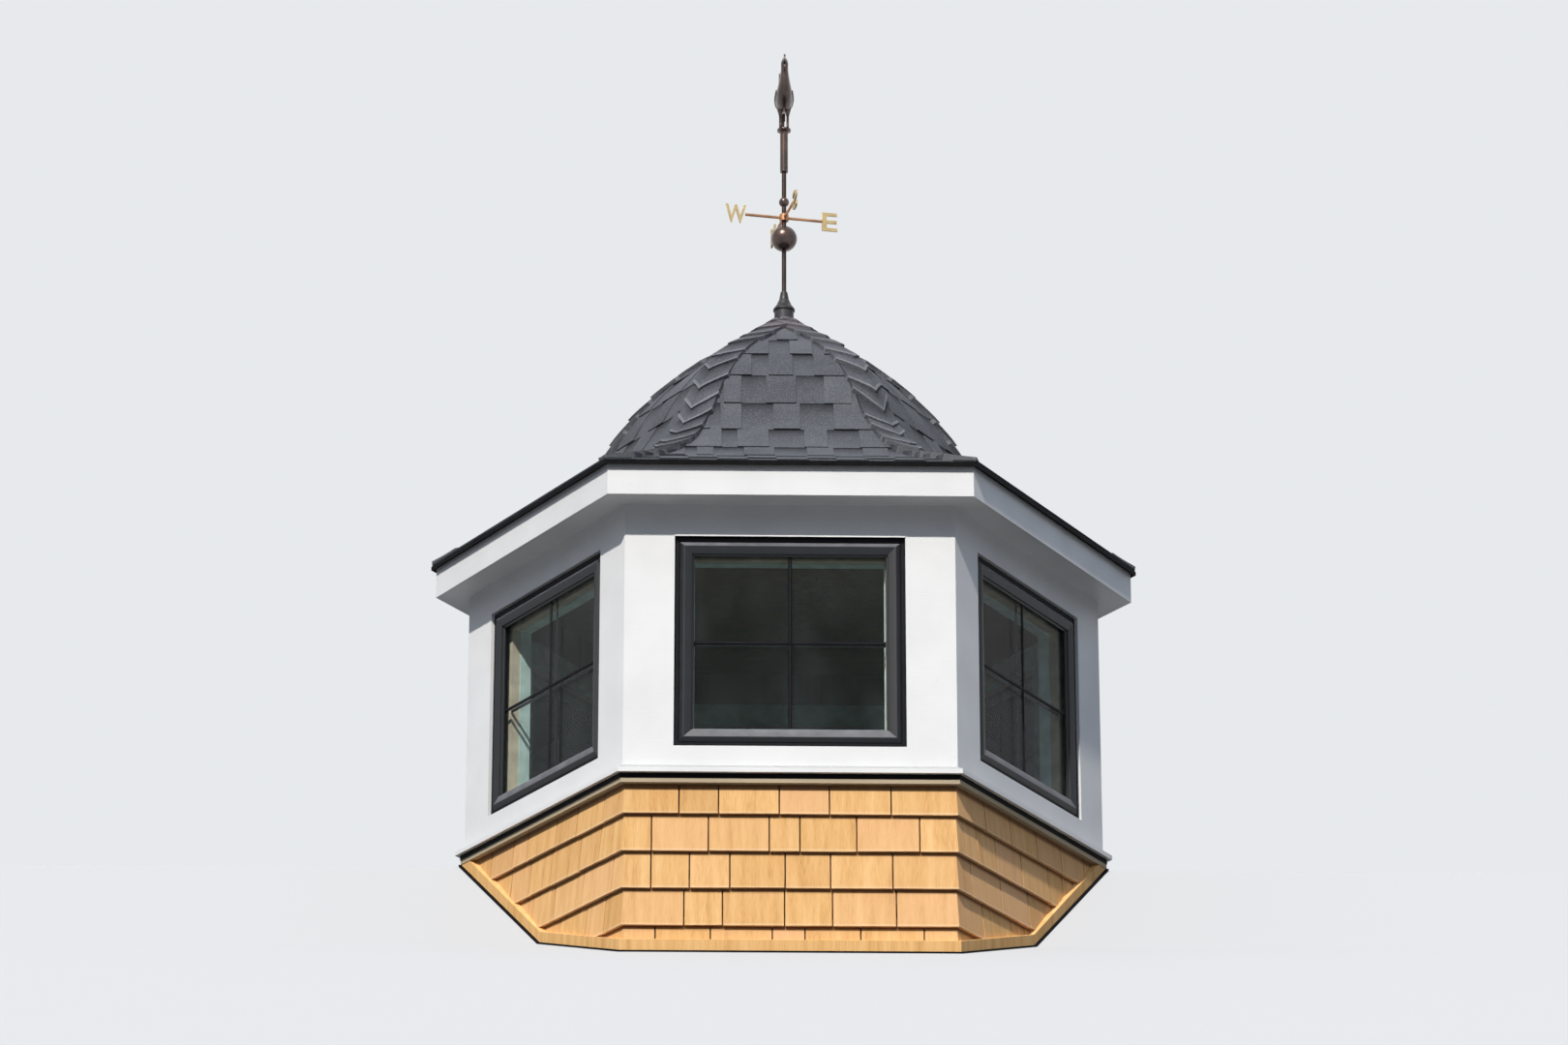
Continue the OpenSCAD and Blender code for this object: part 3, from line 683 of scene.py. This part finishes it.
def cedar_shingles(side, random):
    """One side's shingles. Each leans from its butt in to the wall, is mitred at the corners, where x is
    held within the distance from the axis times tan 30, and stops at the saddle cut."""
    left, right, low, high = [], [], [], []
    for course in range(len(FRONT_WIDTHS)):
        joints = course_joints(side, course, random)
        butt = FIRST_BUTT + (course - 1) * COURSE_H
        left += list(joints[:-1] + KEYWAY / 2)
        right += list(joints[1:] - KEYWAY / 2)
        low += [butt] * (len(joints) - 1)
        high += [min(butt + COURSE_H + SHINGLE_LAP, SHINGLE_TOP)] * (len(joints) - 1)
    left, right, low, high = (np.array(v) for v in (left, right, low, high))
    reach = (BUTT_A / 2 - cut_distance(high - LEAST_SHINGLE_H)) / SIN60
    if side in (1, 4):
        right = np.minimum(right, reach)
    elif side in (2, 5):
        left = np.maximum(left, -reach)
    kept = right - left > LEAST_SHINGLE_W
    left, right, low, high = (v[kept, None, None] for v in (left, right, low, high))
    count, rows, columns = len(left), 4, 7

    across = np.linspace(0, 1, columns)[None, None, :]
    up = np.linspace(0, 1, rows)[None, :, None]
    x = left + (right - left) * across
    turn = math.radians(60 * side)
    y = x * math.sin(turn) - BUTT_A * math.cos(turn)
    uneven = random.uniform(-BUTT_UNEVEN, BUTT_UNEVEN, (count, 1, 1))
    uneven = uneven + across * random.uniform(-BUTT_TILT, BUTT_TILT, (count, 1, 1))
    start = np.maximum(low + uneven, cut_height(y) - STRIP_COVERS)
    z = start + (high - start) * up
    height = (z - low) / COURSE_H
    thick = BUTT_T + random.uniform(-THIN_BY, 0.0, (count, 1, 1))
    out = BUTT_A - (BUTT_T - thick) - thick * np.maximum(height, 0)
    out = np.broadcast_to(out, (count, rows, columns))

    def sheet(a):
        held = np.clip(x, -a * TAN30, a * TAN30)
        return np.stack(np.broadcast_arrays(held, -a, z), -1)

    shingles = closed_sheets(
        sheet(out), sheet(np.full_like(out, WALL_A + WALL_GAP)),
        tone=one_each(random.beta(2.5, 2.0, count), rows, columns),
        warmth=one_each(random.uniform(0, 1, count) ** 2, rows, columns),
        grain=one_each(random.uniform(0, 40, count), rows, columns),
        height=on_both(height))
    piece = add_piece(SIDES[side] + "_cedar_shingles", on_side(shingles, side), CEDAR)
    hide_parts(SIDES[side] + "_shingles")


# Windows

# Thickness of the panes, width of the sash's face, and the thin strip over the head of each window: its
# height, how far it stands out from the trim, and how far its back keeps off the wall
PANE_T, SASH_FACE = 0.020, 0.064
HEAD_STRIP_H, HEAD_STRIP_OUT, HEAD_STRIP_OFF = 0.005, 0.003, 0.004

# Window frames, as distance in from the opening's edge and depth behind the sash's front: the band
# that is set back, and the moulded sash with a ridge between two slanted faces and a glazing bead
BAND_PROFILE = [(0.0, 0.0115), (0.0008, 0.0100), (0.0145, 0.0100), (0.0153, 0.0125)]
SASH_PROFILE = [
    (0.0165, 0.0125), (0.0170, 0.0105), (0.0280, 0.0018), (0.0292, 0.0009), (0.0308, 0.0003),
    (0.0325, 0.0006), (0.0340, 0.0011), (0.0560, 0.0072), (0.0568, 0.0080), (0.0572, 0.0130),
    (0.0580, 0.0142), (0.0615, 0.0152), (0.0630, 0.0168), (0.0636, 0.0205),
]

# Step between the layers of a window, so that none lies in another's plane
LAYER_STEP = 0.001

# Section of a bar on the glass, as place across it and height over the glass
BAR_SECTION = [(-0.0060, 0.0), (-0.0030, 0.0045), (0.0030, 0.0045), (0.0060, 0.0)]


def mitred_frame(profile, back=None):
    """Four bars of one moulding round a window, mitred at the corners. A profile point lies in from the
    opening's edge and behind the sash's front. Across a bar the grid follows the profile, and along it
    the grid runs between the two mitres, which are as far in as the profile point. The back is flat."""
    inset, depth = np.array(profile).T
    back = back or depth.max() + 2 * LAYER_STEP
    left, right = inset - WINDOW_HALF_W, WINDOW_HALF_W - inset
    low, high = WINDOW_LOW + inset, WINDOW_HIGH - inset
    upright = np.stack([low, high])
    level = np.stack([left, right], 1)
    bars = [
        (level, np.repeat(low[:, None], 2, 1), depth[:, None]),
        (level[::-1], np.repeat(high[::-1, None], 2, 1), depth[::-1, None]),
        (np.repeat(left[None], 2, 0), upright, depth[None]),
        (np.repeat(right[None, ::-1], 2, 0), upright[:, ::-1], depth[None, ::-1]),
    ]
    shapes = []
    for x, z, front in bars:
        sheets = [np.stack(np.broadcast_arrays(x, d - SASH_A, z), -1)[None] for d in (front, back)]
        shapes.append(closed_sheets(*sheets))
    return join(shapes)


def head_strip():
    """Box over the head of the front window: a flat rectangle and its copy farther in."""
    x, z = np.meshgrid([-WINDOW_HALF_W, WINDOW_HALF_W], [WINDOW_HIGH, WINDOW_HIGH + HEAD_STRIP_H])
    ends = (-TRIM_A - HEAD_STRIP_OUT, -WALL_A - HEAD_STRIP_OFF)
    sheets = [np.stack([x, np.full_like(x, y), z], -1)[None] for y in ends]
    return closed_sheets(*sheets)


def windows():
    """Frames of the six windows: moulded sashes, set-back bands, the cream frame behind the glass with
    the wall's liner behind it, and the thin strip over each head. Depths are behind the sash's front."""
    glass_back, sash_back = SASH_A - PANE_A + PANE_T + 2 * LAYER_STEP, SASH_A - SASH_BACK_A
    liner_front, liner_back = sash_back + LAYER_STEP, SASH_A - WALL_IN_A - LAYER_STEP
    rear = [(LAYER_STEP, glass_back), (SASH_FACE, glass_back)]
    liner = [(LAYER_STEP, liner_front), (SASH_FACE + 3 * LAYER_STEP, liner_front)]
    sash = mitred_frame(SASH_PROFILE)
    for side, name in enumerate(SIDES):
        piece = add_piece(name + "_sash", on_side(sash, side), SATIN)
        round_shading(piece.data, 32)
        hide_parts(name + "_window")
    add_piece("window_bands", all_round(mitred_frame(BAND_PROFILE)), BAND_COAT)
    add_piece("window_rear_frames", all_round(mitred_frame(rear, sash_back)), CREAM)
    add_piece("window_liners", all_round(mitred_frame(liner, liner_back)), LINER)
    add_piece("window_head_strips", all_round(head_strip()), WHITE)


def window_bars():
    """Thin bars that divide each pane in four, outside and inside the glass: a low trapezium section
    carried along each bar."""
    middle = (PANE_LOW + PANE_HIGH) / 2
    half_w, half_h = WINDOW_HALF_W - SASH_FACE, (PANE_HIGH - PANE_LOW) / 2
    section, rise = np.array(BAR_SECTION).T
    shapes = []
    for a, outward in ((PANE_A, 1), (PANE_A - PANE_T, -1)):
        for half, upright in ((half_h, True), (half_w, False)):
            across, along = np.meshgrid(section, [-half, half])
            lift = np.broadcast_to(rise, along.shape)
            if not upright:
                across, along, lift = along.T, across.T, lift.T
            sheets = [np.stack([across, -(a + outward * height), middle + along], -1)[None]
                      for height in (lift, np.full_like(lift, HAIR))]
            shapes.append(closed_sheets(*sheets[::outward]))
    add_piece("window_bars", all_round(join(shapes)), BAND_COAT)


# Weathervane

# Compass letters: reach to their inner edge, turn of the arms, height, and width of each letter, then
# the type's size, half its thickness, its rounding and how much fatter it is made
LETTER_REACH, ARMS_TURN, LETTER_H = 0.137, math.radians(12), 0.070
LETTER_WIDTHS = {"E": 0.056, "N": 0.060, "W": 0.074, "S": 0.056}
TYPE_SIZE, TYPE_HALF_T, TYPE_BEVEL, TYPE_FATTER = 0.1, 0.0024, 0.0006, 0.0012


def smooth_cast(name, material, body):
    """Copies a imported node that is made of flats, merges its doubled points, and rounds its shading
    where the faces meet at less than 40 degrees."""
    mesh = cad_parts[name].data.copy()
    merged = bmesh.new()
    merged.from_mesh(mesh)
    bmesh.ops.remove_doubles(merged, verts=merged.verts, dist=0.00002)
    merged.to_mesh(mesh)
    merged.free()
    round_shading(mesh, 40)
    piece = finished_piece(name + "_cast", mesh, material, body)
    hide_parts(name)


def letter_mesh(letter):
    """A letter's mesh, and its points centred on x and y and stretched to its width and height."""
    text = bpy.data.curves.new("letter", "FONT")
    text.body, text.size, text.extrude = letter, TYPE_SIZE, TYPE_HALF_T
    text.bevel_depth, text.offset = TYPE_BEVEL, TYPE_FATTER
    shape = link("letter", text)
    bpy.context.view_layer.update()
    mesh = bpy.data.meshes.new_from_object(shape.evaluated_get(bpy.context.evaluated_depsgraph_get()))
    bpy.data.objects.remove(shape)
    points = np.zeros(len(mesh.vertices) * 3)
    mesh.vertices.foreach_get("co", points)
    points = points.reshape(-1, 3)
    low, high = points[:, :2].min(0), points[:, :2].max(0)
    size = [LETTER_WIDTHS[letter], LETTER_H]
    points[:, :2] = (points[:, :2] - (low + high) / 2) / (high - low) * size
    return mesh, points


def compass_letters():
    """Letters at the ends of the four arms, upright and in the plane of their arm. W and S are turned
    about, so that they read from the same side as E and N."""
    for letter, turn, facing in (("E", 0, 1), ("N", 90, 1), ("W", 180, -1), ("S", 270, -1)):
        mesh, flat = letter_mesh(letter)
        along = facing * flat[:, 0] + LETTER_REACH + LETTER_WIDTHS[letter] / 2
        points = np.stack([along, -facing * flat[:, 2], flat[:, 1]], -1)
        points = turned(points, math.radians(turn) + ARMS_TURN) + [0, 0, ARMS_Z]
        mesh.vertices.foreach_set("co", points.ravel())
        mesh.update()
        finished_piece("letter_" + letter.lower(), mesh, BRASS)


# Stage, light and camera

# Floor: how far it reaches from the axis, and how far it stays under the foot of the base
FLOOR_REACH, FLOOR_GAP = 16.0, 0.0008

# Sun: strength, width of its disc, colour, and its place left of the front and over the horizon
SUN_POWER, SUN_DISC, SUN_COLOUR = 3.85, math.radians(1.5), (1.0, 0.96, 0.90)
SUN_AZIMUTH, SUN_HEIGHT = math.radians(20), math.radians(45)

# Sky: its colours low down and overhead where it lights the object, and the pale one that is seen
SKY_LOW, SKY_HIGH, SKY_SEEN = (0.08, 0.085, 0.10), (0.62, 0.74, 0.94), (0.80, 0.82, 0.84)

# The photograph's view: lens and film width in millimetres, the eye's place, and its tilt up and turn
# to the right in degrees
LENS, FILM_W, FAR_END = 124.8, 36, 200
EYE, EYE_TILT, EYE_TURN = (-0.377, -17.6, -4.667), 20.18, 1.227


def stage():
    """Plain pale floor, folded to follow the saddle cut so that the foot stands on it, and never above
    the cut."""
    y = np.array([-FLOOR_REACH, -PITCH_BREAK, 0, PITCH_BREAK, FLOOR_REACH])
    z = np.where(np.abs(y) > PITCH_BREAK, (SADDLE_A - np.abs(y)) * LOW_PITCH, BREAK_Z)
    z = np.where(y == 0, CUT_TOP_Z, z) - FLOOR_GAP
    count = len(y)
    x = np.repeat([-FLOOR_REACH, FLOOR_REACH], count)
    faces = [(i, i + count, i + count + 1, i + 1) for i in range(count - 1)]
    mesh = bpy.data.meshes.new("floor")
    mesh.from_pydata(np.stack([x, np.tile(y, 2), np.tile(z, 2)], -1), [], faces)
    material, tree, shader = new_finish(
        "pale_floor", Roughness=0.9, Specular_IOR_Level=0.1, Emission_Color=(0.97, 0.98, 1.0, 1))
    colour(tree, shader, mix(tree, seen(tree), (0.075, 0.075, 0.072), (0.22, 0.222, 0.224)))
    tree.links.new(maths(tree, "MULTIPLY", seen(tree), 0.47), shader.inputs["Emission Strength"])
    mesh.materials.append(material)
    link("floor", mesh)


def light():
    """One high sun from the left of the front, and a cool sky that is brighter overhead than low down
    and that the eye sees as even and pale."""
    lamp = bpy.data.lights.new("key", "SUN")
    lamp.energy, lamp.angle, lamp.color = SUN_POWER, SUN_DISC, SUN_COLOUR
    link("key", lamp).rotation_euler = (math.radians(90) - SUN_HEIGHT, 0, -SUN_AZIMUTH)

    world = bpy.data.worlds.new("studio")
    bpy.context.scene.world = world
    world.use_nodes = True
    tree = world.node_tree
    direction = add(tree, "ShaderNodeTexCoord", {}).outputs["Generated"]
    overhead = spread(tree, part_of(tree, direction, 2), 0.15, 0.85)
    sky = mix(tree, seen(tree), mix(tree, overhead, SKY_LOW, SKY_HIGH), SKY_SEEN)
    tree.links.new(sky, tree.nodes["Background"].inputs["Color"])


def camera():
    """The photograph's view, from below and in front."""
    lens = bpy.data.cameras.new("view")
    lens.lens, lens.sensor_width, lens.clip_end = LENS, FILM_W, FAR_END
    eye = link("view", lens)
    eye.location = EYE
    eye.rotation_euler = (math.radians(90 + EYE_TILT), 0, math.radians(-EYE_TURN))
    bpy.context.scene.camera = eye


def dress(slots):
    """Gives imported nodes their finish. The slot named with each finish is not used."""
    for (material, slot), nodes in slots.items():
        for name in nodes:
            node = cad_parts[name]
            node.data.materials.clear()
            node.data.materials.append(material)


# The whole

camera()
light()
stage()
dress({
    (CEDAR_STRIP, "cedar"): ["foot_strips"],
    (PALE_STRIP, "cedar"): ["bed_strip"],
    (WHITE, "white_trim"): ["sill", "corner_boards", "lower_rails", "head_boards", "soffit", "fascia"],
    (INSIDE, "framing"): [side + "_wall" for side in SIDES] + ["ceiling"],
    (GLASS, "glass"): ["window_panes"],
    (BLACK, "black_metal"): ["base_flashing", "sill_flashing", "drip_edge"],
    (UNDERLAY, "roof_shingle"): [side + "_slope" for side in SIDES],
    (LEAD, "copper"): ["roof_cap"],
    (DARK_IRON, "dark_iron"): ["spindle"],
    (BRONZE, "copper"): ["balls", "vane_sleeve", "vane_bird"],
    (COPPER, "copper"): ["direction_arms"],
})
random = np.random.default_rng(7)
for side in range(6):
    cedar_shingles(side, random)
for side in range(6):
    slope_shingles(side, random)
hip_caps(random)
windows()
window_bars()
smooth_cast("vane_bird", BRONZE, "vane")
compass_letters()

bpy.context.scene.view_settings.view_transform = "Standard"
